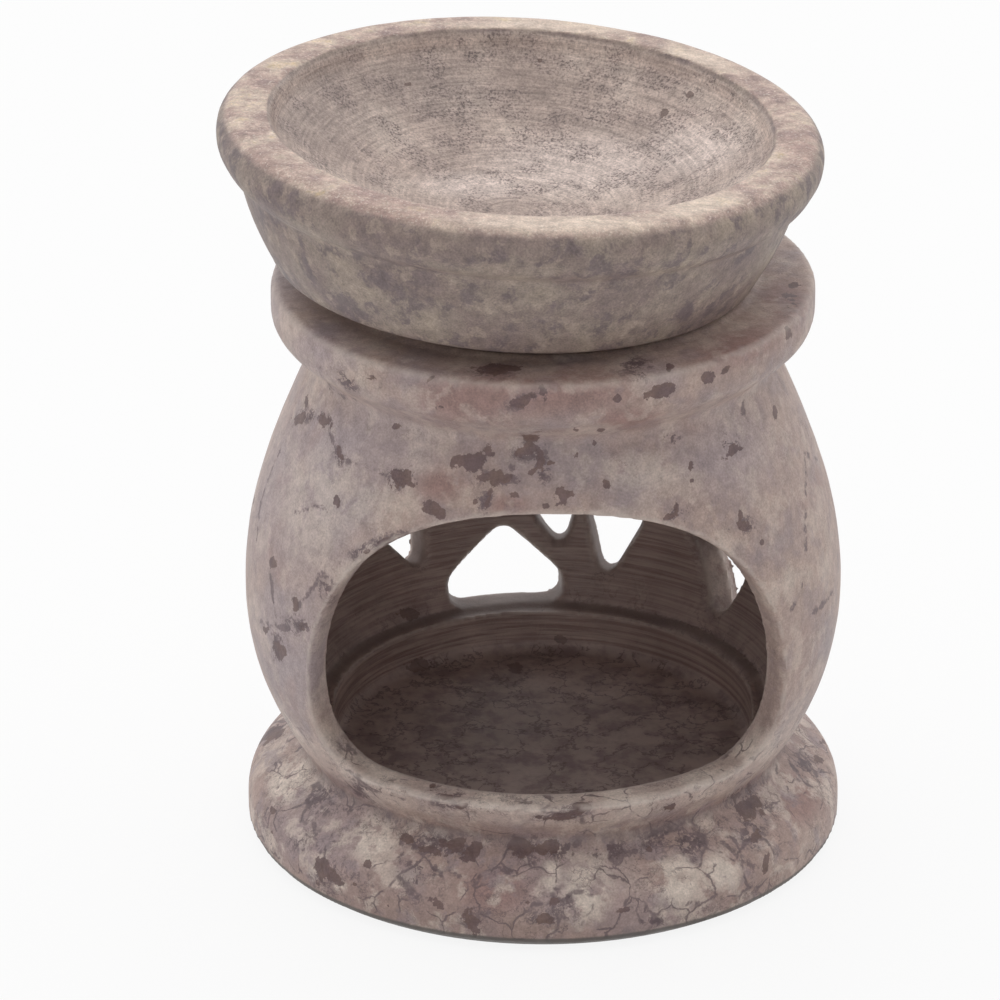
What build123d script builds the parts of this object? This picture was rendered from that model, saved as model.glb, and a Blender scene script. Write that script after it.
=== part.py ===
from build123d import *
import os
from math import asin, cos, degrees, radians, sin, sqrt, tan

# Essential oil burner turned from two blocks of soapstone, in millimetres.
# +Z is up, the origin is the middle of the underside and the candle mouth faces -Y.

# Body: the turned outside, from the table up
base_radius = 37.7
base_bevel = 1.2
foot_radius = 39.9
foot_swell = 4.0
foot_round = 5.5
foot_round_angle = 55
foot_height = 12.3
groove_radius = 32.0
groove_round = 1.2
belly_radius = 39.7
swell_rise = 22.7
shoulder_inset = 2.3
shoulder_rise = 15.0
neck_radius = 30.1
neck_rise = 18.3
neck_round = 1.5
flange_radius = 35.6
flange_swell = 6.3
flange_round = 3.6
flange_round_angle = 50
flange_height = 10.2
flange_edge = 1.3

# Body: the hollow, with a well for the candle and a flue under the dish
wall = 4.1
floor_thickness = 10.5
well_depth = 5.5
well_wall = 4.0
well_corner = 2.0
ledge_width = 1.7
neck_wall = 5.1
seat_width = 1.5

# Body: the arched mouth in the front, flared towards the outside
arch_half_width = 31.0
sill_rise = 2.9
arch_corner = 8.0
spring_rise = 10.7
crown_web = 8.9
arch_flare = 33
flare_run = 24.8
arch_edge = 0.5

# Body: the vents pierced through the back wall, seen from inside the chamber
vent_gap = 0.4
vent_band = 13.6
vent_width = 24.6
# Each vent is a rounded triangle: its azimuth and the heading of its cut in degrees from +Y towards +X,
# its width as a share of vent_width, the levels of its wide end and its tip as shares of vent_band, and
# then, as shares of its own half width and width, how far its tip leans right and how round it is
vent_shares = (
    (-9.1, -9.1, 1.04, 0.0, 0.78, 0.06, 0.1),
    (18.0, 18.0, 0.41, 0.96, 0.08, -0.22, 0.17),
    (2.9, 2.9, 0.32, 0.94, 0.4, 0.45, 0.2),
    (-32.0, -41.0, 0.39, 1.0, 0.3, 0.6, 0.16),
    (37.0, 80.0, 0.5, 0.98, -0.02, 0.8, 0.13),
)

# Oil dish: a thick lip, a curved wall and a ball-shaped underside that seats in the flue
dish_radius = 39.4
dish_height = 24.8
dish_base_radius = 15.0
ball_radius = 74.5
heel_reach = 5.1
heel_round = 2.5
wall_bulge = 0.5
lip_reach = 3.0
lip_height = 7.7
lip_swell = 3.0
lip_round = 4.6
lip_round_angle = 60
lip_foot_round = 1.5
lip_width = 6.8
rim_edge = 0.5
rim_band = 2.6
rim_slope = 1.2
bowl_depth = 13.5
dish_tilt = 3.2
seat_clearance = 0.25

# How far a cut runs past the face that it opens
overrun = 2.0

# Levels and places that follow from the sizes above
swell_level = foot_height + swell_rise
shoulder_radius = belly_radius - shoulder_inset
shoulder_level = swell_level + shoulder_rise
neck_level = shoulder_level + neck_rise
flange_level = neck_level + flange_height
ledge_level = floor_thickness + well_depth
well_radius = groove_radius - well_wall
ledge_radius = well_radius + ledge_width
flue_radius = neck_radius - neck_wall
seat_radius = flue_radius + seat_width
sill_level = ledge_level + sill_rise
crown_level = neck_level - crown_web
groove = (groove_radius, foot_height)
swell = (belly_radius, swell_level)
shoulder = (shoulder_radius, shoulder_level)
neck = (neck_radius, neck_level)
ledge = (ledge_radius, ledge_level)
chamber_swell = (belly_radius - wall, swell_level)
chamber_shoulder = (shoulder_radius - wall, shoulder_level)
flue = (flue_radius, neck_level)

# The dish's underside and its seat share one centre, so the dish seats alike however it is tipped
seat_ball = ball_radius + seat_clearance
ball_level = flange_level + sqrt(seat_ball**2 - seat_radius**2)
seat_level = ball_level - sqrt(seat_ball**2 - flue_radius**2)
heel_radius = seat_radius + heel_reach
lip_foot_radius = dish_radius - lip_reach
rim_radius = dish_radius - lip_width
bowl_radius = rim_radius - rim_slope
rim_drop = sqrt(ball_radius**2 - dish_base_radius**2) - dish_height
dish_tip = Plane((0, 0, ball_level)).rotated((0, dish_tilt, 0))
rim_centre = dish_tip.origin - dish_tip.z_dir * rim_drop


def ball_arc(centre_height, radius, inner, outer):
    """The stretch of a ball's lower outline between two distances from its axis."""
    start = degrees(asin(inner / radius))
    end = degrees(asin(outer / radius))
    return CenterArc((0, centre_height), radius, start - 90, end - start)


def arch_section(depth, half_width):
    """The mouth's outline on the plane that lies this far in front of the axis."""
    spring_level = sill_level + spring_rise
    with BuildSketch(Plane.XZ.offset(depth)) as section:
        with BuildLine():
            FilletPolyline(
                (-half_width, spring_level),
                (-half_width, sill_level),
                (half_width, sill_level),
                (half_width, spring_level),
                radius=arch_corner,
            )
            EllipticalCenterArc(
                (0, spring_level),
                half_width,
                crown_level - spring_level,
                arc_size=180,
            )
        make_face()
    return section.sketch


def vent_section(azimuth, heading, width_share, wide_share, tip_share, lean_share, round_share):
    """A vent's rounded triangle on an upright plane inside the chamber, facing back along its cut."""
    place = Vector(sin(radians(azimuth)), cos(radians(azimuth)), 0) * ledge_radius
    outward = Vector(sin(radians(heading)), cos(radians(heading)), 0)
    start = place - outward * ledge_radius
    foot_level = ledge_level + vent_gap
    half_width = vent_width * width_share / 2
    wide_level = foot_level + vent_band * wide_share
    tip_level = foot_level + vent_band * tip_share
    with BuildSketch(Plane(start, x_dir=(outward.Y, -outward.X, 0), z_dir=-outward)) as section:
        with BuildLine():
            Polyline(
                (-half_width, wide_level),
                (half_width, wide_level),
                (half_width * lean_share, tip_level),
                close=True,
            )
        make_face()
        fillet(section.vertices(), vent_width * width_share * round_share)
    return section.sketch


with BuildPart() as burner_body:
    # Turned blank
    with BuildSketch(Plane.XZ) as blank_section:
        with BuildLine():
            foot_line = Polyline(
                (0, 0), (base_radius, 0), (foot_radius, base_bevel), (foot_radius, foot_swell)
            )
            foot_arc = JernArc(foot_line @ 1, (0, 1), foot_round, foot_round_angle)
            Line(foot_arc @ 1, groove)
            TangentArc(swell, groove, tangent=(0, -1))
            belly_arc = TangentArc(swell, shoulder, tangent=(0, 1))
            TangentArc(shoulder, neck, tangent=belly_arc % 1)
            flange_side = (flange_radius, neck_level + flange_swell)
            flange_arc = JernArc(flange_side, (0, -1), flange_round, -flange_round_angle)
            Line(neck, flange_arc @ 1)
            Polyline(flange_side, (flange_radius, flange_level), (0, flange_level), (0, 0))
        make_face()
        fillet(blank_section.vertices().group_by(Axis.Y)[-1].sort_by(Axis.X)[-1], flange_edge)
        fillet(blank_section.vertices().sort_by_distance(groove)[0], groove_round)
        fillet(blank_section.vertices().sort_by_distance(neck)[0], neck_round)
    revolve(axis=Axis.Z)

    # Arched mouth, with a rounded rim
    jamb_depth = sqrt(belly_radius**2 - arch_half_width**2)
    front_run = belly_radius + overrun - jamb_depth
    flare_slope = tan(radians(arch_flare))
    loft(
        [
            arch_section(jamb_depth + front_run, arch_half_width + front_run * flare_slope),
            arch_section(jamb_depth - flare_run, arch_half_width - flare_run * flare_slope),
        ],
        ruled=True,
        mode=Mode.SUBTRACT,
    )
    mouth_rim = burner_body.edges(Select.LAST).filter_by(
        lambda edge: max((edge @ 0).Y, (edge @ 1).Y) < -jamb_depth / 2
    )
    fillet(mouth_rim, arch_edge)

    # Candle well, chamber, flue and the ball-shaped seat at its rim
    with BuildSketch(Plane.XZ) as chamber_section:
        with BuildLine():
            Polyline(
                (0, floor_thickness), (well_radius, floor_thickness), (well_radius, ledge_level), ledge
            )
            TangentArc(chamber_swell, ledge, tangent=(0, -1))
            chamber_arc = TangentArc(chamber_swell, chamber_shoulder, tangent=(0, 1))
            TangentArc(chamber_shoulder, flue, tangent=chamber_arc % 1)
            Line(flue, (flue_radius, seat_level))
            ball_arc(ball_level, seat_ball, flue_radius, seat_radius)
            Polyline(
                (seat_radius, flange_level),
                (seat_radius, flange_level + overrun),
                (0, flange_level + overrun),
                (0, floor_thickness),
            )
        make_face()
        fillet(chamber_section.vertices().group_by(Axis.Y)[0].sort_by(Axis.X)[-1], well_corner)
    revolve(axis=Axis.Z, mode=Mode.SUBTRACT)

    # Pierced vents, each cut run from inside the chamber until it is clear of the belly
    vent_run = ledge_radius + belly_radius + overrun
    for vent in vent_shares:
        extrude(vent_section(*vent), amount=-vent_run, mode=Mode.SUBTRACT)

with BuildPart() as oil_dish:
    with BuildSketch(Plane(rim_centre, x_dir=dish_tip.x_dir, z_dir=-dish_tip.y_dir)) as dish_section:
        with BuildLine():
            Line((0, -dish_height), (dish_base_radius, -dish_height))
            underside = ball_arc(rim_drop, ball_radius, dish_base_radius, heel_radius)
            heel = underside @ 1
            lip_foot = (lip_foot_radius, -lip_height)
            SagittaArc(heel, lip_foot, -wall_bulge)
            lip_side = (dish_radius, -lip_swell)
            lip_arc = JernArc(lip_side, (0, -1), lip_round, -lip_round_angle)
            Line(lip_foot, lip_arc @ 1)
            rim_arc = JernArc(lip_side, (0, 1), lip_swell, 90)
            bowl_edge = (bowl_radius, -rim_band)
            Polyline(rim_arc @ 1, (rim_radius, 0), bowl_edge)
            TangentArc((0, -bowl_depth), bowl_edge, tangent=(1, 0))
            Line((0, -bowl_depth), (0, -dish_height))
        make_face()
        fillet(dish_section.vertices().sort_by_distance(heel)[0], heel_round)
        fillet(dish_section.vertices().sort_by_distance(lip_foot)[0], lip_foot_round)
        fillet(dish_section.vertices().sort_by_distance((rim_radius, 0))[0], rim_edge)
    revolve(axis=Axis(rim_centre, dish_tip.z_dir))

burner_body.part.label = "burner_body"
oil_dish.part.label = "oil_dish"

os.makedirs("parts", exist_ok=True)
export_step(burner_body.part, "parts/burner_body.step")
export_step(oil_dish.part, "parts/oil_dish.step")
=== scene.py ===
import math

import bpy
import numpy as np
from mathutils import Euler, Matrix, Vector, noise


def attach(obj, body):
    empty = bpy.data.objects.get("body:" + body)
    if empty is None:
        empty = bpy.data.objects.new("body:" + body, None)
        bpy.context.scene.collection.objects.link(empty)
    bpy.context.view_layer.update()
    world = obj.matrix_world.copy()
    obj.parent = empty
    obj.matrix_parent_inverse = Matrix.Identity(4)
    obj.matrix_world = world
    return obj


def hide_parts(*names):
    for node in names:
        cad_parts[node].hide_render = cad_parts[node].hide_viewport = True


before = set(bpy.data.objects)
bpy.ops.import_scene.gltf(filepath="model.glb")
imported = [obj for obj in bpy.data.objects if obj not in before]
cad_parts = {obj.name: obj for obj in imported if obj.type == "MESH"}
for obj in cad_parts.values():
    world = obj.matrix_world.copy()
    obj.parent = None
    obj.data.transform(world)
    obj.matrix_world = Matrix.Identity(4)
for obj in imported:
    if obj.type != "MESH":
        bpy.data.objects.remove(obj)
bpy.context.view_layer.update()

# Stone is worked in millimetres here and written back in metres
MM = 0.001

# Camera, fitted to the outlines in the photograph
camera_reach = 0.740
camera_height = 0.390
camera_yaw = math.radians(-1.2)
camera_dip = math.radians(24.93)
camera_shift = -0.043
focal_share = 6.18
sensor_width = 36.0
near_clip = 0.01
frame_pixels = 1000

camera_side = camera_reach * math.sin(camera_yaw)
camera_front = camera_reach * math.cos(camera_yaw)
camera_place = Vector((camera_side, -camera_front, camera_height))
camera_turn = Euler((math.radians(90) - camera_dip, 0, camera_yaw))
camera_data = bpy.data.cameras.new("camera")
camera_data.sensor_width = sensor_width
camera_data.lens = focal_share * sensor_width
camera_data.shift_x = camera_shift
camera_data.clip_start = near_clip
camera = bpy.data.objects.new("camera", camera_data)
camera.location = camera_place
camera.rotation_euler = camera_turn
bpy.context.scene.collection.objects.link(camera)
bpy.context.scene.camera = camera
bpy.context.scene.view_settings.view_transform = "Standard"

# Marks in the stone. Each has the pixel of the photograph where it lies, across and down,
# its half width and half height as seen there, in millimetres, and its tilt in degrees.
dark_marks = {
    "flange": (
        (371, 377, 0.65, 0.65, 0), (431, 378, 0.9, 0.28, 45), (500, 369, 2.6, 0.7, 0),
        (523, 401, 1.8, 0.7, 15), (544, 392, 0.45, 1.0, 0), (661, 392, 2.1, 0.75, 17),
        (709, 377, 1.1, 0.8, 0), (726, 370, 0.9, 0.4, 40), (670, 367, 0.5, 0.9, 0),
        (617, 399, 0.6, 0.5, 0), (796, 285, 0.8, 0.5, 0), (789, 333, 0.6, 0.9, 0),
    ),
    "left belly": (
        (299, 418, 1.3, 0.7, 0), (325, 421, 1.2, 0.8, -15), (306, 400, 0.4, 1.3, 0),
        (339, 453, 0.5, 1.1, 15), (400, 480, 2.0, 1.25, 5), (418, 467, 0.7, 0.3, 40),
        (337, 500, 0.5, 0.8, 20), (434, 510, 1.6, 0.8, -30), (443, 513, 0.5, 0.7, 0),
        (394, 427, 0.8, 0.4, 0), (439, 408, 0.6, 0.35, 0), (385, 541, 0.9, 0.35, 20),
        (402, 536, 0.7, 0.4, 0), (367, 551, 0.6, 0.35, 25), (272, 563, 0.8, 0.65, 0),
        (296, 604, 0.6, 0.9, 0), (303, 626, 0.9, 0.6, 20), (278, 650, 1.0, 1.2, 0),
        (266, 629, 0.6, 0.5, 0),
    ),
    "crown": (
        (469, 463, 2.0, 1.4, 0), (489, 450, 1.3, 0.8, -20), (502, 478, 2.4, 1.0, -5),
        (487, 503, 0.4, 1.5, -15), (533, 437, 1.1, 0.6, 15), (526, 450, 1.7, 0.8, 10),
        (540, 458, 0.6, 1.4, 10), (551, 463, 0.5, 0.3, 0), (531, 472, 0.8, 0.4, 30),
        (515, 495, 0.8, 0.4, 0), (562, 497, 1.35, 1.15, 0), (545, 505, 0.6, 0.5, 0),
        (600, 430, 0.5, 0.4, 0), (594, 442, 0.35, 0.6, 0), (576, 430, 0.3, 0.3, 0),
        (576, 455, 0.35, 0.45, 0), (605, 484, 0.6, 0.45, -40), (465, 501, 0.3, 0.25, 0),
        (476, 502, 0.35, 0.3, 0),
    ),
    "right belly": (
        (690, 467, 0.45, 0.7, 0), (692, 481, 0.3, 0.5, 0), (775, 411, 0.3, 1.2, 0),
        (667, 517, 1.0, 0.4, 20), (677, 510, 0.4, 0.9, 0), (743, 525, 1.5, 0.6, -20),
        (740, 516, 0.4, 1.0, 0), (762, 542, 0.3, 0.3, 0), (732, 452, 1.2, 0.6, 30),
    ),
    "foot": (
        (272, 735, 2.0, 1.0, 40), (272, 810, 0.55, 0.45, 0), (272, 832, 0.3, 0.3, 0),
        (322, 871, 1.9, 1.7, -30), (336, 880, 1.2, 0.8, -30), (367, 864, 0.5, 0.5, 0),
        (387, 905, 0.45, 0.25, -30), (354, 884, 0.4, 0.2, 0), (408, 839, 1.2, 0.7, -20),
        (430, 850, 2.0, 0.7, -15), (456, 845, 2.2, 1.1, 0), (473, 849, 1.8, 1.4, 0),
        (436, 903, 1.2, 0.6, -30), (472, 922, 0.9, 1.8, 15), (522, 847, 1.6, 1.2, 0),
        (549, 847, 1.5, 1.0, 0), (527, 902, 0.45, 0.45, 0), (554, 901, 0.5, 0.45, 0),
        (544, 920, 1.2, 0.6, 0), (649, 850, 0.5, 0.4, 0), (748, 803, 2.0, 1.9, 0),
        (755, 838, 0.6, 1.6, -25), (766, 864, 0.4, 1.4, -15), (823, 742, 0.8, 0.4, 0),
        (818, 759, 0.8, 0.5, 0), (624, 910, 1.0, 0.4, 10),
    ),
    "sill": (
        (562, 816, 2.8, 0.6, 8), (583, 807, 1.1, 0.7, 0), (669, 807, 0.9, 0.55, 10),
        (446, 797, 0.8, 0.5, -20), (462, 806, 0.9, 0.4, 10), (432, 787, 0.6, 0.5, 0),
    ),
    "chamber": (
        (406, 614, 1.5, 0.9, 0), (418, 664, 1.9, 1.0, 0), (515, 668, 1.2, 0.8, 0),
        (560, 640, 1.3, 0.7, 0),
    ),
    "bowl": (
        (665, 113, 0.7, 0.6, 0), (690, 95, 0.4, 0.4, 0), (407, 84, 0.5, 0.35, 0),
        (541, 60, 0.4, 0.3, 0),
    ),
}
smoke_marks = {
    "flange": (
        (640, 366, 2.6, 1.8, 0), (494, 370, 3.0, 1.2, 0), (523, 401, 2.6, 1.2, 15),
        (790, 300, 1.6, 2.4, 0),
    ),
    "belly": (
        (500, 478, 3.4, 1.6, 0), (536, 452, 2.6, 1.8, 0), (542, 470, 1.6, 2.4, 0),
        (486, 503, 1.2, 2.2, -15), (731, 446, 2.2, 1.6, 0), (676, 437, 1.8, 1.2, 0),
        (676, 514, 1.9, 1.3, 0), (743, 524, 2.2, 1.1, 0), (310, 416, 3.2, 1.2, 0),
        (340, 452, 1.2, 2.2, 15), (300, 624, 3.2, 1.5, 0), (276, 645, 1.6, 2.0, 0),
        (346, 384, 2.6, 1.0, -35), (400, 480, 2.4, 1.4, 0), (392, 540, 3.4, 0.9, 20),
        (355, 553, 2.2, 0.8, 30), (325, 590, 1.2, 2.0, 20), (435, 511, 1.9, 1.2, -30),
    ),
    "foot": (
        (318, 800, 3.0, 2.6, 0), (440, 846, 5.2, 1.9, 0), (545, 848, 6.5, 1.9, 0),
        (610, 850, 3.5, 1.6, 0), (415, 872, 2.6, 3.2, -20), (325, 872, 2.4, 2.0, -30),
        (654, 922, 2.4, 1.0, 0), (752, 828, 2.0, 4.2, -15), (448, 800, 3.0, 2.0, 0),
        (573, 812, 3.4, 1.2, 0), (272, 735, 2.4, 1.2, 40), (805, 765, 1.8, 2.4, 0),
        (470, 920, 1.4, 2.0, 15), (660, 838, 4.0, 1.6, 15), (300, 845, 1.8, 1.4, -30),
        (690, 845, 3.0, 2.0, 0), (540, 918, 2.2, 1.2, 0), (360, 790, 3.0, 1.4, -35),
    ),
}
pale_marks = {
    "foot": (
        (314, 874, 0.7, 1.1, 0), (340, 887, 1.0, 0.8, 0), (436, 837, 2.2, 1.2, 0),
        (532, 802, 3.0, 1.5, 0), (587, 890, 3.2, 4.0, 0), (552, 875, 1.3, 2.6, 0),
        (679, 882, 3.0, 3.6, 0), (290, 780, 3.4, 3.4, 0), (372, 840, 3.0, 3.2, 0),
        (490, 800, 3.0, 1.4, 0), (620, 796, 3.4, 1.4, 0), (720, 872, 3.0, 2.6, 0),
        (380, 768, 3.4, 1.2, -30), (700, 778, 3.6, 1.2, 20), (745, 748, 2.2, 1.6, 45),
    ),
    "belly": ((315, 500, 6.0, 7.0, 0), (375, 505, 5.0, 2.6, 15), (640, 470, 5.0, 2.6, 0)),
    # This mark is painted light on the right vent's side face, which lies in shade
    "vent": ((710, 582, 3.4, 5.2, 20),),
    "bowl": ((580, 165, 13.0, 4.5, 0), (690, 150, 7.0, 4.0, 0), (480, 185, 8.0, 2.0, 0)),
    "rim": (
        (560, 224, 15.0, 1.4, 0), (700, 205, 6.0, 1.6, 15), (560, 26, 15.0, 1.2, 0),
        (700, 58, 6.0, 1.2, -20),
    ),
}
# Grey-lilac zones of the stone; on the left belly and the dish's left wall they also stand for painted sheen
# of the lit left side
cool_marks = {
    "left belly": ((300, 500, 9.0, 11.0, 0), (290, 640, 6.0, 9.0, 0), (380, 440, 9.0, 5.0, 0)),
    "right belly": ((730, 450, 6.0, 5.0, 0),),
    "flange": ((320, 350, 5.0, 3.0, 0), (660, 378, 2.6, 2.0, 0)),
    "foot": ((330, 830, 7.0, 5.0, 0), (560, 880, 9.0, 4.0, 0), (650, 915, 8.0, 3.0, 0)),
    "dish": (
        (275, 270, 5.0, 7.0, 0), (330, 110, 7.0, 5.0, 0), (430, 90, 8.0, 4.0, 0),
    ),
}
blush_marks = {
    # On the flange under the dish these are darker pink stone and also painted shade of the dish's overhang
    "flange": (
        (540, 392, 13.0, 3.0, 0), (626, 418, 4.5, 1.4, 0), (470, 400, 7.0, 3.0, 0),
        (740, 345, 6.0, 2.4, 20), (785, 300, 3.0, 4.0, 0),
    ),
    "foot": ((494, 890, 5.5, 3.6, 0), (800, 800, 4.0, 4.0, 0)),
    "dish": (
        (250, 175, 4.0, 2.5, 0), (390, 205, 7.0, 1.6, -15), (800, 150, 2.4, 3.5, 0),
        (480, 300, 9.0, 3.0, 0),
    ),
    "crown": ((507, 505, 2.6, 1.2, 0), (440, 485, 3.0, 2.0, 0)),
}
# Thin cracks, each as a run of pixels
crack_marks = {
    "right belly": (
        ((806, 452), (807, 475), (806, 520), (807, 557), (803, 590), (793, 610)),
        ((807, 456), (813, 455), (821, 462)), ((835, 590), (812, 615)),
        ((744, 403), (745, 414), (749, 421)),
    ),
    "left belly": (
        ((320, 366), (327, 386), (342, 397), (353, 400)),
        ((327, 424), (334, 447), (344, 461), (370, 468), (392, 478)),
        ((283, 440), (270, 470), (260, 500), (255, 540)), ((292, 513), (315, 506), (332, 512)),
        ((320, 570), (314, 586), (300, 602), (294, 614)),
        ((340, 561), (360, 547), (385, 537), (410, 531)), ((315, 585), (323, 574), (334, 584)),
        ((275, 618), (269, 571)), ((258, 622), (282, 628), (305, 626), (332, 618)),
    ),
    "crown": (
        ((512, 470), (514, 452), (530, 440), (545, 452), (543, 480)),
        ((494, 487), (483, 500), (481, 517)),
    ),
    "foot": (
        ((318, 785), (322, 805), (312, 822), (318, 850)),
        ((396, 822), (402, 850), (398, 875), (412, 895), (440, 905)),
        ((330, 800), (350, 812), (364, 806)), ((440, 846), (452, 872), (470, 880)),
        ((352, 770), (372, 790), (402, 800)), ((700, 835), (724, 842), (744, 862), (768, 870)),
        ((640, 780), (668, 772), (700, 766), (730, 752)), ((560, 905), (575, 890), (592, 894)),
        ((610, 870), (626, 852), (650, 846)), ((790, 760), (804, 780), (818, 790)),
    ),
}
crack_width = 0.3
mark_depth = 1.5
# Each soft kind of mark, with how near it a vertex lies where the mark starts and where it is full
soft_marks = (
    ("smoke", smoke_marks, -0.6, 0.7),
    ("pale", pale_marks, -0.4, 0.6),
    ("blush", blush_marks, -0.6, 0.7),
    ("cool", cool_marks, -0.7, 0.6),
)
# The marks lie on this side of the stone, and chance places others on the rest
marked_side = (0.0, -0.9, 0.42)
marked_limits = (0.0, 0.35)


def see(across, down):
    """The CAD node under a pixel of the photograph, and the point there in millimetres."""
    side = across / frame_pixels - 0.5 + camera_shift
    rise = 0.5 - down / frame_pixels
    direction = camera_turn.to_matrix() @ Vector((side, rise, -focal_share))
    reach = math.inf
    seen = None
    for node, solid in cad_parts.items():
        hit, place, _, _ = solid.ray_cast(camera_place, direction)
        if hit and (place - camera_place).length < reach:
            reach = (place - camera_place).length
            seen = (node, place / MM)
    return seen


def ellipsoid(mark):
    """A mark as its node, its middle and the matrix that makes it a unit ball."""
    across, down, half_width, half_height, tilt = mark
    seen = see(across, down)
    if seen is None:
        return None
    node, place = seen
    turn = camera_turn.to_matrix() @ Matrix.Rotation(math.radians(tilt), 3, "Z")
    half_sizes = (half_width, half_height, mark_depth + 2 * max(half_width, half_height))
    rows = [list(turn.col[axis] / half) for axis, half in enumerate(half_sizes)]
    return node, np.array(place), np.array(rows)


# Stone pieces: even meshes over the CAD's forms
body_voxel = 0.5
dish_voxel = 0.44
even_rounds = 2
ease_rounds = 24
sharp_angle = math.radians(38)
far_off = 9.0
# How far a vertex stands out, in millimetres, on flat faces, in creases and on edges that chip,
# and over how many rounds of neighbours that is told
flat_limits = (0.015, 0.06)
flat_rounds = 2
crease_limits = (0.03, 0.15)
crease_rounds = 6
crease_spread = 4
chip_rounds = 8
chip_depth = 0.35
# How noise is moved on by a seed, and how streaks round the lathe slant
seed_shift = (17.3, 5.9, 11.7)
streak_slant = 0.7


def stone_piece(node, name, voxel):
    """A new piece in a CAD node's form, with an even mesh that can be worked."""
    piece = bpy.data.objects.new(name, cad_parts[node].data.copy())
    bpy.context.scene.collection.objects.link(piece)
    even = piece.modifiers.new("even", "REMESH")
    even.mode = "VOXEL"
    even.voxel_size = voxel * MM
    even.use_smooth_shade = True
    depsgraph = bpy.context.evaluated_depsgraph_get()
    mesh = bpy.data.meshes.new_from_object(piece.evaluated_get(depsgraph))
    piece.modifiers.clear()
    piece.data = mesh
    mesh.name = name
    mesh.materials.clear()
    return piece


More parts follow.
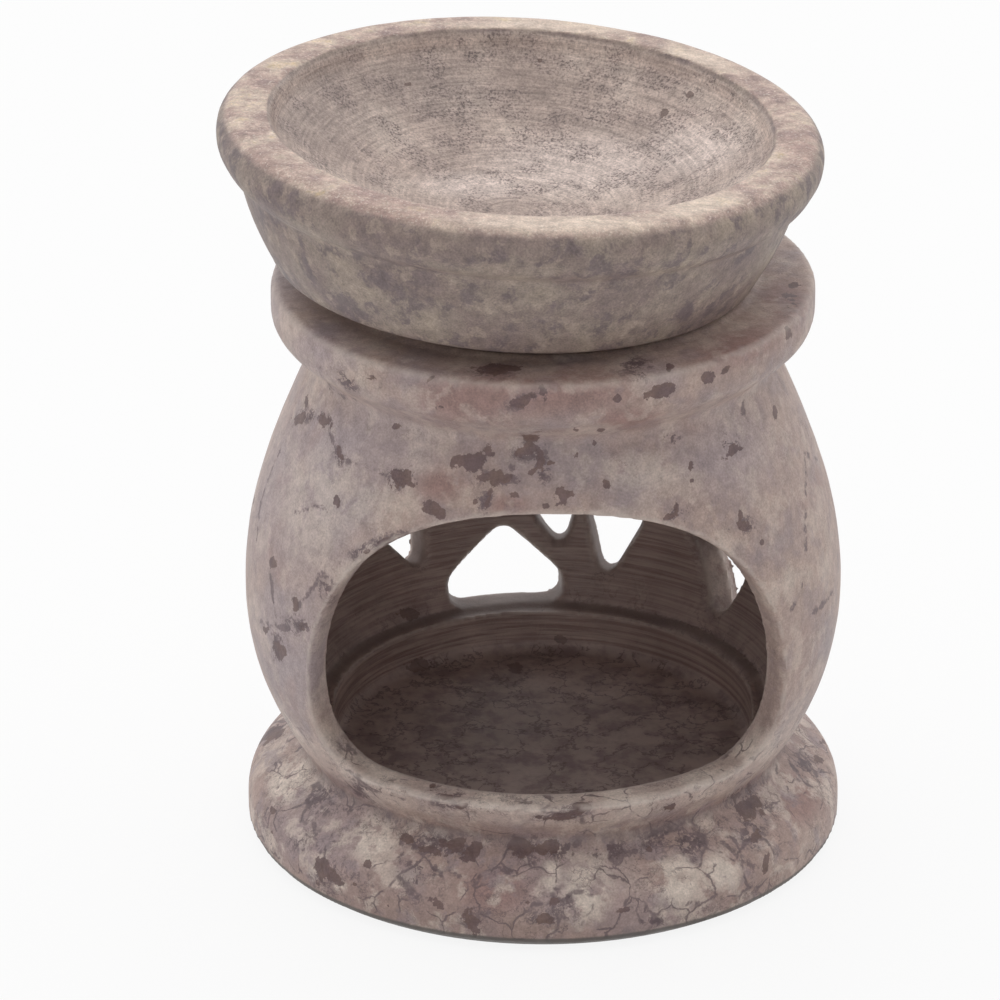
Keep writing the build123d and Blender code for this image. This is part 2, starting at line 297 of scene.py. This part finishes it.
class Surface:
    """A piece's vertices as arrays in millimetres, with the means to work them."""

    def __init__(self, piece, node):
        self.mesh = piece.data
        self.node = node
        count = len(self.mesh.vertices)
        self.points = np.empty(count * 3)
        self.mesh.vertices.foreach_get("co", self.points)
        self.points = self.points.reshape(-1, 3) / MM
        self.edges = np.empty(len(self.mesh.edges) * 2, np.int64)
        self.mesh.edges.foreach_get("vertices", self.edges)
        self.edges = self.edges.reshape(-1, 2)
        self.degree = np.bincount(self.edges.ravel(), minlength=count).astype(float)
        self.write()

    def write(self):
        """Puts the points back into the mesh and reads the new normals."""
        self.mesh.vertices.foreach_set("co", (self.points * MM).ravel())
        self.mesh.update()
        normals = np.empty(len(self.mesh.vertices) * 3)
        self.mesh.vertex_normals.foreach_get("vector", normals)
        self.normals = normals.reshape(-1, 3)

    def around(self, values):
        """The mean of each vertex's neighbours."""
        total = np.zeros_like(values)
        first, second = self.edges.T
        np.add.at(total, first, values[second])
        np.add.at(total, second, values[first])
        return (total.T / self.degree).T

    def spread(self, values, rounds):
        """Values evened out between neighbours."""
        for _ in range(rounds):
            values = (values + self.around(values)) / 2
        return values

    def convexity(self, rounds):
        """How far each vertex stands out from its neighbourhood, in millimetres."""
        near = self.spread(self.points, rounds)
        return ((self.points - near) * self.normals).sum(axis=1)

    def grain(self, period, seed):
        """Smooth noise between about -1 and 1, at one length scale."""
        offset = Vector([seed * shift for shift in seed_shift])
        return np.array([noise.noise(Vector(p) + offset) for p in self.points / period])

    def even(self, rounds):
        """Evens the faces out and leaves the edges crisp."""
        flat = 1 - step(*flat_limits, np.abs(self.convexity(flat_rounds)))
        flat = self.spread(flat, 1) * flat
        smooth = self.spread(self.points, rounds)
        self.points = self.points + flat[:, None] * (smooth - self.points)
        self.write()

    def ease(self, chosen, rounds):
        """Softens the creases among the chosen vertices."""
        crease = chosen * step(*crease_limits, -self.convexity(crease_rounds))
        crease = self.spread(crease, crease_spread)
        smooth = self.spread(self.points, rounds)
        self.points = self.points + crease[:, None] * (smooth - self.points)
        self.write()

    def wobble(self, layers):
        """A turner's unevenness, as a depth at each vertex."""
        return sum(depth * (1 + self.grain(period, seed)) for depth, period, seed in layers)

    def chips(self, edge_limits, chance_limits, period, seed):
        """Small chips along the edges, as a depth at each vertex."""
        edge = step(*edge_limits, self.convexity(chip_rounds))
        return chip_depth * edge * step(*chance_limits, self.grain(period, seed))

    def sink(self, depth):
        """Takes this depth of stone off along the normals."""
        self.points = self.points - self.normals * depth[:, None]
        self.write()

    def near(self, groups):
        """How near each vertex lies to a table's marks: 1 in a middle, 0 on an edge, -1 far off."""
        near = np.full(len(self.points), -1.0)
        for marks in groups.values():
            for mark in marks:
                found = ellipsoid(mark)
                if found and found[0] == self.node:
                    _, middle, rows = found
                    reach = np.linalg.norm((self.points - middle) @ rows.T, axis=1)
                    near = np.maximum(near, 1 - reach)
        return near

    def depth_in_runs(self, groups, width):
        """How deep each vertex lies inside thin runs of a table, in millimetres."""
        depth = np.full(len(self.points), -far_off)
        for runs in groups.values():
            for run in runs:
                seen = [see(*pixel) for pixel in run]
                places = [np.array(found[1]) for found in seen if found and found[0] == self.node]
                for start, end in zip(places, places[1:]):
                    along = end - start
                    share = np.clip((self.points - start) @ along / (along @ along), 0, 1)
                    gap = np.linalg.norm(self.points - start - share[:, None] * along, axis=1)
                    depth = np.maximum(depth, width / 2 - gap)
        return depth

    def keep(self, name, values):
        """Stores a number or a vector at each vertex for the materials."""
        kind, entry = ("FLOAT", "value") if values.ndim == 1 else ("FLOAT_VECTOR", "vector")
        layer = self.mesh.attributes.new(name, kind, "POINT")
        layer.data.foreach_set(entry, values.astype(np.float32).ravel())

    def keep_marks(self):
        """Stores the marks of the tables above."""
        self.keep("dark", self.near(dark_marks))
        for name, marks, start, full in soft_marks:
            self.keep(name, step(start, full, self.near(marks)))
        self.keep("crack", self.depth_in_runs(crack_marks, crack_width))
        self.keep("unseen", 1 - step(*marked_limits, self.normals @ np.array(marked_side)))

    def keep_all(self, across, along):
        """Stores the places on the lathe, the edges and the marks, and sets the sharp edges."""
        slow = self.points[:, 0] + streak_slant * self.points[:, 1]
        self.keep("lathe", np.stack([across, along, slow], axis=1))
        self.keep("crest", self.spread(self.convexity(crease_rounds), 1))
        self.keep_marks()
        self.mesh.set_sharp_from_angle(angle=sharp_angle)


def step(low, high, values):
    """Smooth step from 0 at low to 1 at high."""
    share = np.clip((values - low) / (high - low), 0, 1)
    return share * share * (3 - 2 * share)


# Body, with the levels of its sill, its neck and its top
groove_top = 15.2
sill_low = 17.5
neck_low = 60.0
neck_level = 62.0
flange_top = 78.5
level_step = 0.6
far_radius = 99.0
# Where each zone starts and where it is full, in millimetres
chamber_reach = (1.0, 0.3)
chamber_head = (-0.1, -0.5)
cut_depth = (0.7, 1.5)
clear_of_axis = (4.0, 8.0)
sill_head = (24.0, 20.0)
sill_foot = (14.5, 16.0)
table_gap = (0.2, 1.0)
seat_edge = (28.5, 27.0)
seat_foot = (76.0, 77.0)
right_side = (14.0, 20.0)
# How far faces look outward or upward, from -1 to 1
outside_facing = 0.2
chamber_facing = -0.6
upright_limits = (0.3, 0.8)
# Unevenness, each layer with its depth and its period in millimetres and its seed, and chips,
# with how far an edge that chips stands out, how rare they are, their period and their seed
body_wobble = ((0.12, 26.0, 1), (0.05, 7.0, 2), (0.02, 2.4, 3))
body_chips = ((0.05, 0.35), (0.2, 0.5), 3.0, 4)
# Stone kept on the dish's seat and in the vents, where the even mesh would open gaps
seat_fill = 0.2
vent_fill = 0.3
right_vent_fill = 0.65
body_piece = stone_piece("burner_body", "body_stone", body_voxel)
body = Surface(body_piece, "burner_body")
body.even(even_rounds)
body.ease(body.points[:, 2] > neck_low, ease_rounds)
radius = np.hypot(body.points[:, 0], body.points[:, 1])
level = body.points[:, 2]
front = -body.points[:, 1]
outward = (body.points[:, :2] * body.normals[:, :2]).sum(axis=1) / radius


def outline(chosen, start, pick):
    """A radius at each vertex's level, picked from the chosen vertices of each level."""
    rows = np.clip(np.round(level / level_step).astype(int), 0, None)
    radii = np.full(rows.max() + 1, start)
    pick.at(radii, rows[chosen], radius[chosen])
    known = np.flatnonzero(radii != start)
    return np.interp(level, known * level_step, radii[known])


outside = outline(outward > outside_facing, 0.0, np.maximum)
chamber = outline((outward < chamber_facing) & (front < 0), far_radius, np.minimum)
inside = step(*chamber_reach, radius - chamber) * step(*chamber_head, level - flange_top)
deep = step(*cut_depth, outside - radius) * (level < neck_level)
cut = np.maximum(inside, deep * step(sill_low, sill_low + 1, level))
above_groove = step(groove_top, groove_top + 0.5, level)
pierced = deep * (1 - inside) * step(*clear_of_axis, -front) * above_groove
in_sill = step(*sill_head, level) * step(*sill_foot, level)
sill = (1 - inside) * in_sill * step(*clear_of_axis, front)
on_table = step(*table_gap, level)
uneven = body.wobble(body_wobble) + body.chips(*body_chips)
seat = step(*seat_edge, radius) * step(*seat_foot, level)
to_right = step(*right_side, body.points[:, 0])
fill = seat_fill * seat + pierced * (vent_fill + (right_vent_fill - vent_fill) * to_right)
body.sink(uneven * on_table * (1 - cut) * (1 - seat) - fill)
body.keep("inside", inside)
body.keep("upright", 1 - step(*upright_limits, np.abs(body.normals[:, 2])))
body.keep("pierced", pierced)
body.keep("sill", sill)
body.keep("low", level)
body.keep_all(radius, level)

# Dish, with where its bowl, its top and its seated face start and are full
bowl_edge = 32.3
bowl_limits = (-0.3, 0.3)
bowl_facing = (0.1, 0.4)
top_facing = (0.6, 0.9)
seated_facing = (-0.5, -0.8)
bowl_calm = 0.7
dish_wobble = ((0.14, 24.0, 5), (0.05, 7.0, 6), (0.02, 2.2, 7))
dish_chips = ((0.05, 0.3), (0.15, 0.5), 2.6, 8)
dish_piece = stone_piece("oil_dish", "dish_stone", dish_voxel)
dish = Surface(dish_piece, "oil_dish")
dish.even(even_rounds)
dish_centre = dish.points.mean(axis=0)
_, directions = np.linalg.eigh(np.cov((dish.points - dish_centre).T))
dish_axis = directions[:, 0] * np.sign(directions[2, 0])
along = (dish.points - dish_centre) @ dish_axis
ring = np.linalg.norm(dish.points - dish_centre - along[:, None] * dish_axis, axis=1)
facing = dish.normals @ dish_axis
below_rim = along.max() - along
bowl = step(*bowl_limits, bowl_edge - ring) * step(*bowl_facing, facing)
top = step(*top_facing, facing) * (1 - bowl)
uneven = dish.wobble(dish_wobble) + dish.chips(*dish_chips)
seated = step(*seated_facing, facing)
dish.sink(uneven * (1 - bowl_calm * bowl) * (1 - seated))
dish.keep("bowl", bowl)
dish.keep("top", top)
dish.keep_all(ring, below_rim)


def paint(red, green, blue):
    """A colour as it looks on screen, from 0 to 255, as the shader takes it."""
    linear = [v / 255 / 12.92 if v <= 10 else ((v / 255 + 0.055) / 1.055) ** 2.4 for v in (red, green, blue)]
    return (*linear, 1.0)


class Graph:
    """Builds a material's nodes as expressions."""

    def __init__(self, name):
        self.material = bpy.data.materials.new(name)
        self.material.use_nodes = True
        self.tree = self.material.node_tree
        self.tree.nodes.clear()
        where = self.node("ShaderNodeTexCoord").outputs["Object"]
        self.where = self.scaled(where, 1 / MM)

    def node(self, kind, inputs=None, **settings):
        made = self.tree.nodes.new(kind)
        for key, value in settings.items():
            setattr(made, key, value)
        for key, value in (inputs or {}).items():
            self.feed(made.inputs[key], value)
        return made

    def feed(self, socket, value):
        if isinstance(value, bpy.types.NodeSocket):
            self.tree.links.new(value, socket)
        else:
            socket.default_value = value

    def scaled(self, vector, factor):
        inputs = {0: vector, "Scale": factor}
        return self.node("ShaderNodeVectorMath", inputs, operation="SCALE").outputs[0]

    def vector(self, operation, first, second):
        return self.node("ShaderNodeVectorMath", {0: first, 1: second}, operation=operation).outputs[0]

    def math(self, operation, first, second=0.0, clamp=False):
        made = self.node("ShaderNodeMath", {0: first, 1: second}, operation=operation, use_clamp=clamp)
        return made.outputs[0]

    def times(self, first, *others):
        for other in others:
            first = self.math("MULTIPLY", first, other)
        return first

    def step(self, value, low, high):
        inputs = {"Value": value, "From Min": low, "From Max": high}
        return self.node("ShaderNodeMapRange", inputs, interpolation_type="SMOOTHSTEP").outputs[0]

    def span(self, value, low, high, start=0.0, end=1.0):
        inputs = {"Value": value, "From Min": start, "From Max": end, "To Min": low, "To Max": high}
        return self.node("ShaderNodeMapRange", inputs).outputs[0]

    def mix(self, share, first, second):
        return self.node("ShaderNodeMix", {0: share, 6: first, 7: second}, data_type="RGBA").outputs[2]

    def shaded(self, colour, value, low, high):
        """A colour made darker or lighter by a noise value, which mostly lies between 0.3 and 0.7."""
        return self.scaled(colour, self.span(value, low, high, 0.3, 0.7))

    def noise(self, period, detail=4.0, rough=0.55, where=None, offset=0.0):
        place = where or self.where
        if offset:
            place = self.vector("ADD", place, (offset, offset * 0.7, -offset))
        inputs = {"Vector": place, "Scale": 1 / period, "Detail": detail, "Roughness": rough}
        return self.node("ShaderNodeTexNoise", inputs, noise_dimensions="3D")

    def value(self, *given, **named):
        return self.noise(*given, **named).outputs[0]

    def ridge(self, value):
        """How far a noise value lies from its middle, so that 0 runs along winding lines."""
        return self.math("ABSOLUTE", self.math("SUBTRACT", value, 0.5))

    def warped(self, where, period, reach, detail=2.0):
        """Coordinates pushed about by noise, by up to about this reach."""
        push = self.noise(period, detail, where=where).outputs["Color"]
        push = self.vector("SUBTRACT", push, (0.5, 0.5, 0.5))
        return self.vector("ADD", where, self.scaled(push, reach * 2))

    def cells(self, period, feature, where):
        inputs = {"Vector": where, "Scale": 1 / period}
        return self.node("ShaderNodeTexVoronoi", inputs, feature=feature).outputs

    def kept(self, name, output="Fac"):
        return self.node("ShaderNodeAttribute", attribute_name=name).outputs[output]

    def turned(self, fine, slow):
        """Streaks that run round the lathe's axis: fine across them, slow along them."""
        stretch = (1 / fine, 1 / fine, 1 / slow)
        return self.vector("MULTIPLY", self.kept("lathe", "Vector"), stretch)

    def ramp(self, value, stops):
        made = self.node("ShaderNodeValToRGB", {0: value})
        row = made.color_ramp.elements
        while len(row) < len(stops):
            row.new(1.0)
        for element, (place, colour) in zip(row, stops):
            element.position = place
            element.color = colour
        return made.outputs[0]

    def inclusions(self, period, rarity):
        """Dark inclusions by chance on the sides that the marks don't reach, with the marks themselves."""
        cell = self.cells(period, "F1", self.warped(self.where, 3.0, 1.2))
        drawn = self.node("ShaderNodeSeparateColor", {0: cell["Color"]}).outputs[0]
        size = self.math("ADD", self.span(drawn, 0.0, 0.3, rarity), 0.02)
        chance = self.math("SUBTRACT", 1.0, self.math("DIVIDE", cell["Distance"], size))
        chance = self.math("SUBTRACT", chance, self.span(self.kept("unseen"), 3.0, 0.0))
        near = self.math("MAXIMUM", self.kept("dark"), chance)
        fray = self.span(self.value(1.9, 4.0, 0.6, offset=11.0), -1.7, 1.7)
        return self.step(self.math("ADD", near, fray), 0.0, 0.14)

    def finish(self, colour, roughness, height, depth):
        bump = self.node("ShaderNodeBump", {"Height": height, "Distance": depth * MM}).outputs[0]
        inputs = {"Base Color": colour, "Roughness": roughness, "Normal": bump}
        stone = self.node("ShaderNodeBsdfPrincipled", inputs)
        out = self.node("ShaderNodeOutputMaterial", {"Surface": stone.outputs[0]})
        out.is_active_output = True
        return self.material


def body_stone():
    """Pinkish grey soapstone: soft clouds, broken islands and veins, lilac smoke and brown inclusions."""
    g = Graph("body_soapstone")
    drift = g.warped(g.where, 15.0, 5.0)
    jag = g.warped(g.where, 2.4, 0.8, 3.0)
    low = g.kept("low")
    foot = g.step(low, 15.5, 12.5)
    rugged = g.math("MAXIMUM", foot, g.kept("sill"))
    inside = g.kept("inside")
    unseen = g.kept("unseen")

    # Ground
    colour = g.ramp(
        g.value(13.0, 4.0, 0.55, where=drift),
        (
            (0.34, paint(154, 138, 137)),
            (0.45, paint(164, 143, 136)),
            (0.56, paint(172, 150, 140)),
            (0.68, paint(190, 173, 162)),
        ),
    )
    # The cool marks: grey-lilac stone, and on the left belly also painted sheen
    colour = g.mix(g.times(g.kept("cool"), 0.6), colour, paint(167, 152, 153))
    rosy = g.times(g.step(g.value(12.0, 2.0, where=drift, offset=41.0), 0.56, 0.76), 0.5)
    # The blush marks include painted shade on the flange under the dish
    rosy = g.math("MAXIMUM", rosy, g.kept("blush"))
    rosy = g.math("MAXIMUM", rosy, g.times(rugged, 0.35))
    colour = g.mix(g.times(rosy, 0.85), colour, paint(144, 113, 107))
    cream = g.step(g.value(5.5, 5.0, 0.62, where=jag, offset=19.0), 0.50, 0.60)
    colour = g.mix(g.times(cream, g.span(rugged, 0.36, 0.7)), colour, paint(198, 181, 170))
    lilac = g.step(g.value(4.5, 5.0, 0.62, where=jag, offset=57.0), 0.53, 0.64)
    colour = g.mix(g.times(lilac, g.span(rugged, 0.36, 0.6)), colour, paint(140, 124, 127))
    # The pale marks include painted light on the right vent's side face
    pale = g.times(g.kept("pale"), g.step(g.value(2.6, 5.0, 0.62, where=jag, offset=63.0), 0.36, 0.52))
    colour = g.mix(g.times(pale, g.span(rugged, 0.4, 0.9)), colour, paint(212, 197, 185))
    colour = g.mix(g.times(g.kept("sill"), 0.42), colour, paint(210, 193, 183))

    # Smoke, dendrites and veins, thick where a zone is strong and like hairs elsewhere
    patch = g.step(g.value(9.0, 3.0, 0.55, where=drift, offset=77.0), 0.54, 0.70)
    patch = g.times(patch, g.span(g.math("MAXIMUM", unseen, rugged), 0.1, 0.8))
    zone = g.math("MAXIMUM", g.kept("smoke"), patch, clamp=True)
    smoke = g.times(zone, g.step(g.value(2.4, 5.0, 0.62, where=jag, offset=23.0), 0.36, 0.64))
    colour = g.mix(g.times(smoke, 0.5), colour, paint(130, 114, 118))
    twigs = g.math("ADD", g.value(1.7, 6.0, 0.74, where=jag, offset=91.0), g.times(zone, 0.2))
    colour = g.mix(g.times(g.step(twigs, 0.67, 0.73), zone, 0.9), colour, paint(98, 80, 83))
    web = g.ridge(g.value(7.0, 7.0, 0.68, where=jag, offset=31.0))
    net = g.ridge(g.value(3.2, 6.0, 0.68, where=jag, offset=15.0))
    width = g.span(zone, 0.004, 0.03)
    gaps = g.step(g.value(6.0, 3.0, offset=67.0), 0.42, 0.56)
    veins = g.times(g.step(web, width, g.times(width, 0.25)), g.span(zone, 0.4, 0.85))
    fine = g.times(g.step(net, 0.02, 0.004), g.span(rugged, 0.12, 0.55))
    veins = g.times(g.math("MAXIMUM", veins, fine), gaps)
    broken = g.warped(g.warped(g.where, 6.0, 2.4), 1.6, 0.7, 5.0)
    edge = g.cells(5.0, "DISTANCE_TO_EDGE", broken)["Distance"]
    seam = g.span(zone, 0.035, 0.1)
    split = g.step(g.value(4.0, 3.0, 0.6, offset=43.0), 0.46, 0.56)
    seams = g.times(g.step(edge, seam, g.times(seam, 0.25)), split, rugged, 0.75)
    veins = g.math("MAXIMUM", veins, seams)
    wander = g.span(g.value(1.6, 4.0, 0.65, offset=3.0), -0.5, 0.5, 0.3, 0.7)
    cracks = g.times(g.step(g.math("ADD", g.kept("crack"), wander), -0.3, 0.1), 0.75)
    veins = g.math("MAXIMUM", veins, cracks)
    colour = g.mix(veins, colour, paint(94, 77, 81))

    # Inclusions, grain, and painted shade in the groove above the foot
    dark = g.inclusions(9.0, 0.62)
    brown = g.ramp(g.value(3.0, 3.0, offset=71.0), ((0.35, paint(96, 75, 77)), (0.65, paint(108, 84, 77))))
    colour = g.mix(g.times(dark, 0.9), colour, brown)
    colour = g.shaded(colour, g.value(1.4, 5.0, 0.62), 0.84, 1.16)
    colour = g.shaded(colour, g.value(0.26, 2.0, 0.5), 0.86, 1.14)
    # Painted shade: the creases near the groove above the foot are darkened
    groove_shade = g.times(g.step(g.kept("crest"), -0.02, -0.12), g.step(low, 17.5, 15.5))
    colour = g.mix(g.times(groove_shade, 0.5), colour, paint(92, 76, 76))

    # The chamber's turning marks, its floor, the vents' cut faces, painted highlight with pale wear on the
    # edges, and painted shadow along the lower rim
    marks = g.value(1.0, 4.0, 0.62, where=g.turned(0.42, 11.0))
    scored = g.mix(g.step(marks, 0.36, 0.64), paint(146, 120, 114), paint(190, 168, 159))
    mottle = g.value(3.4, 6.0, 0.66, where=jag, offset=87.0)
    smudged = g.mix(g.step(mottle, 0.34, 0.60), paint(146, 126, 124), paint(188, 168, 162))
    threads = g.ridge(g.value(7.0, 5.0, 0.62, where=jag, offset=47.0))
    smudged = g.mix(g.times(g.step(threads, 0.02, 0.005), 0.6), smudged, paint(84, 70, 70))
    hollow = g.mix(g.kept("upright"), smudged, scored)
    hollow = g.shaded(hollow, g.value(7.0, 3.0, 0.5, offset=53.0), 0.88, 1.12)
    hollow = g.mix(g.times(dark, 0.6), hollow, brown)
    colour = g.mix(g.times(inside, 0.85), colour, hollow)
    bare = g.times(g.kept("pierced"), g.span(g.kept("pale"), 0.7, 0.0))
    colour = g.mix(bare, colour, paint(124, 108, 104))
    # Painted highlight with pale wear: the convex edges are made paler
    colour = g.mix(g.times(g.step(g.kept("crest"), 0.03, 0.16), 0.6), colour, paint(206, 192, 182))
    # Painted contact shadow: the lowest 2 mm of the stone are darkened
    colour = g.mix(g.times(g.step(low, 2.1, 1.7), 0.85), colour, paint(82, 78, 74))
    rough = g.span(g.value(5.0, 4.0), 0.42, 0.6)
    height = g.math("ADD", g.value(1.2, 4.0), g.times(veins, -0.3))
    height = g.math("ADD", g.times(height, 0.5), g.times(marks, inside, g.kept("upright")))
    return g.finish(colour, rough, height, 0.2)


def dish_stone():
    """Brownish taupe soapstone with grey clouds: a mottled rim and a scratched, speckled bowl."""
    g = Graph("dish_soapstone")
    drift = g.warped(g.where, 12.0, 4.0)
    jag = g.warped(g.where, 2.6, 0.9, 3.0)
    bowl = g.kept("bowl")
    top = g.kept("top")
    specks = g.value(0.36, 3.0, 0.6, offset=29.0)

    # Wall, in a darker copy of the stone than the rim and the bowl: painted shade of the wall that faces
    # down and to the front
    colour = g.ramp(
        g.value(8.0, 4.0, 0.55, where=drift),
        (
            (0.32, paint(122, 106, 104)),
            (0.45, paint(136, 119, 112)),
            (0.57, paint(145, 130, 120)),
            (0.70, paint(160, 144, 130)),
        ),
    )
    # The cool marks: grey stone, and on the left wall also painted sheen that makes it paler
    colour = g.mix(g.times(g.kept("cool"), 0.75), colour, paint(184, 175, 171))
    grey = g.step(g.value(4.0, 6.0, 0.66, where=jag, offset=23.0), 0.50, 0.62)
    colour = g.mix(g.times(grey, 0.8), colour, paint(106, 92, 94))
    buff = g.step(g.value(2.8, 5.0, 0.64, where=jag, offset=81.0), 0.54, 0.64)
    colour = g.mix(g.times(buff, 0.5), colour, paint(170, 152, 138))
    colour = g.mix(g.times(g.step(specks, 0.56, 0.66), 0.3), colour, paint(96, 84, 82))

    # Rim
    rim = g.ramp(
        g.value(4.0, 6.0, 0.68, where=jag, offset=9.0),
        (
            (0.34, paint(142, 119, 115)),
            (0.44, paint(166, 141, 132)),
            (0.52, paint(182, 158, 146)),
            (0.60, paint(198, 178, 162)),
            (0.70, paint(196, 172, 136)),
        ),
    )
    rim = g.mix(g.times(g.kept("blush"), 0.5), rim, paint(166, 137, 128))
    rim = g.mix(g.times(g.kept("pale"), 0.7), rim, paint(214, 195, 178))
    bedding = g.vector("MULTIPLY", g.warped(g.where, 5.0, 1.4), (0.3, 0.9, 0.9))
    rim = g.shaded(rim, g.value(0.9, 5.0, 0.66, where=bedding), 0.82, 1.16)
    rim = g.mix(g.times(g.step(specks, 0.44, 0.34), 0.5), rim, paint(224, 212, 198))
    colour = g.mix(top, colour, rim)

    # Bowl
    basin = g.ramp(
        g.value(11.0, 4.0, 0.55, where=drift, offset=15.0),
        ((0.35, paint(168, 150, 141)), (0.50, paint(184, 165, 155)), (0.65, paint(200, 182, 171))),
    )
    basin = g.mix(g.times(g.kept("cool"), 0.5), basin, paint(158, 143, 136))
    basin = g.mix(g.times(g.kept("pale"), 0.8), basin, paint(216, 199, 191))
    cluster = g.step(g.value(5.0, 5.0, 0.62, where=jag, offset=37.0), 0.46, 0.60)
    basin = g.mix(g.times(cluster, 0.22), basin, paint(140, 124, 122))
    dots = g.times(g.step(specks, 0.49, 0.59), g.span(cluster, 0.3, 0.85))
    basin = g.mix(dots, basin, paint(112, 98, 95))
    scratches = g.value(1.0, 4.0, 0.6, where=g.turned(0.45, 9.0))
    basin = g.shaded(basin, scratches, 0.78, 1.24)
    colour = g.mix(bowl, colour, basin)

    dark = g.inclusions(10.0, 0.75)
    colour = g.mix(g.times(dark, 0.8), colour, paint(102, 82, 76))
    colour = g.shaded(colour, g.value(1.4, 5.0, 0.65), 0.80, 1.24)
    colour = g.shaded(colour, g.value(0.26, 2.0, 0.5), 0.83, 1.17)
    # Painted highlight with pale wear: the convex edges of the dish are made paler
    colour = g.mix(g.times(g.step(g.kept("crest"), 0.04, 0.2), 0.35), colour, paint(206, 190, 174))
    rough = g.span(g.value(5.0, 4.0), 0.45, 0.62)
    height = g.math("ADD", g.times(g.value(1.2, 4.0), 0.5), g.times(scratches, bowl, 0.8))
    return g.finish(colour, rough, height, 0.16)


body_piece.data.materials.append(body_stone())
dish_piece.data.materials.append(dish_stone())
for piece, node, ridden, slot in (
    (body_piece, "burner_body", "body", "body_soapstone"),
    (dish_piece, "oil_dish", "dish", "dish_soapstone"),
):
    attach(piece, ridden)
    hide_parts(node)


# Floor and light
floor_size = 6.0
floor_white = 0.78
glow_share = 0.88


def background_rays(tree):
    """A socket that is 1 on the rays that show the white background."""
    path = tree.nodes.new("ShaderNodeLightPath")
    shown = path.outputs["Is Camera Ray"]
    for kind in ("Is Glossy Ray", "Is Transmission Ray"):
        either = tree.nodes.new("ShaderNodeMath")
        either.operation = "MAXIMUM"
        tree.links.new(shown, either.inputs[0])
        tree.links.new(path.outputs[kind], either.inputs[1])
        shown = either.outputs[0]
    return shown


def white_floor():
    """Pale paper that keeps a faint shadow."""
    half = floor_size / 2
    corners = [(-half, -half, 0), (half, -half, 0), (half, half, 0), (-half, half, 0)]
    mesh = bpy.data.meshes.new("floor")
    mesh.from_pydata(corners, [], [(0, 1, 2, 3)])
    floor = bpy.data.objects.new("floor", mesh)
    bpy.context.scene.collection.objects.link(floor)
    material = bpy.data.materials.new("floor_paper")
    material.use_nodes = True
    tree = material.node_tree
    tree.nodes.clear()
    paper = tree.nodes.new("ShaderNodeBsdfDiffuse")
    paper.inputs["Color"].default_value = (floor_white, floor_white, floor_white, 1.0)
    white = tree.nodes.new("ShaderNodeEmission")
    share = tree.nodes.new("ShaderNodeMath")
    share.operation = "MULTIPLY"
    share.inputs[1].default_value = glow_share
    tree.links.new(background_rays(tree), share.inputs[0])
    both = tree.nodes.new("ShaderNodeMixShader")
    tree.links.new(share.outputs[0], both.inputs[0])
    tree.links.new(paper.outputs[0], both.inputs[1])
    tree.links.new(white.outputs[0], both.inputs[2])
    out = tree.nodes.new("ShaderNodeOutputMaterial")
    tree.links.new(both.outputs[0], out.inputs["Surface"])
    mesh.materials.append(material)


# A white tent: its mean brightness, and how much brighter it is to the right, the back and the top
tent_level = 0.93
tent_slope = (-0.10, 0.90, 0.21)
tent_least = 0.08
# A weak lamp in front, in metres and watts
fill_place = (0.0, -1.2, 0.28)
fill_aim = (0.0, 0.0, 0.04)
fill_size = 0.8
fill_power = 1.8


def tent_light():
    """Soft light from all round, strongest from behind and least from the camera's side."""
    world = bpy.data.worlds.new("studio")
    bpy.context.scene.world = world
    world.use_nodes = True
    tree = world.node_tree
    tree.nodes.clear()
    direction = tree.nodes.new("ShaderNodeTexCoord").outputs["Generated"]
    slope = tree.nodes.new("ShaderNodeVectorMath")
    slope.operation = "DOT_PRODUCT"
    tree.links.new(direction, slope.inputs[0])
    slope.inputs[1].default_value = tent_slope
    total = tree.nodes.new("ShaderNodeMath")
    total.operation = "ADD"
    total.inputs[1].default_value = tent_level
    tree.links.new(slope.outputs["Value"], total.inputs[0])
    least = tree.nodes.new("ShaderNodeMath")
    least.operation = "MAXIMUM"
    least.inputs[1].default_value = tent_least
    tree.links.new(total.outputs[0], least.inputs[0])
    cloth = tree.nodes.new("ShaderNodeBackground")
    cloth.inputs["Color"].default_value = (1.0, 1.0, 1.0, 1.0)
    tree.links.new(least.outputs[0], cloth.inputs["Strength"])
    white = tree.nodes.new("ShaderNodeBackground")
    white.inputs["Color"].default_value = (1.0, 1.0, 1.0, 1.0)
    both = tree.nodes.new("ShaderNodeMixShader")
    tree.links.new(background_rays(tree), both.inputs[0])
    tree.links.new(cloth.outputs[0], both.inputs[1])
    tree.links.new(white.outputs[0], both.inputs[2])
    out = tree.nodes.new("ShaderNodeOutputWorld")
    tree.links.new(both.outputs[0], out.inputs["Surface"])


def soft_box(name, place, aim, size, power):
    """A square lamp that looks at a point."""
    lamp = bpy.data.lights.new(name, "AREA")
    lamp.size = size
    lamp.energy = power
    holder = bpy.data.objects.new(name, lamp)
    holder.location = place
    holder.rotation_euler = (Vector(aim) - Vector(place)).to_track_quat("-Z", "Y").to_euler()
    bpy.context.scene.collection.objects.link(holder)


white_floor()
tent_light()
soft_box("fill", fill_place, fill_aim, fill_size, fill_power)
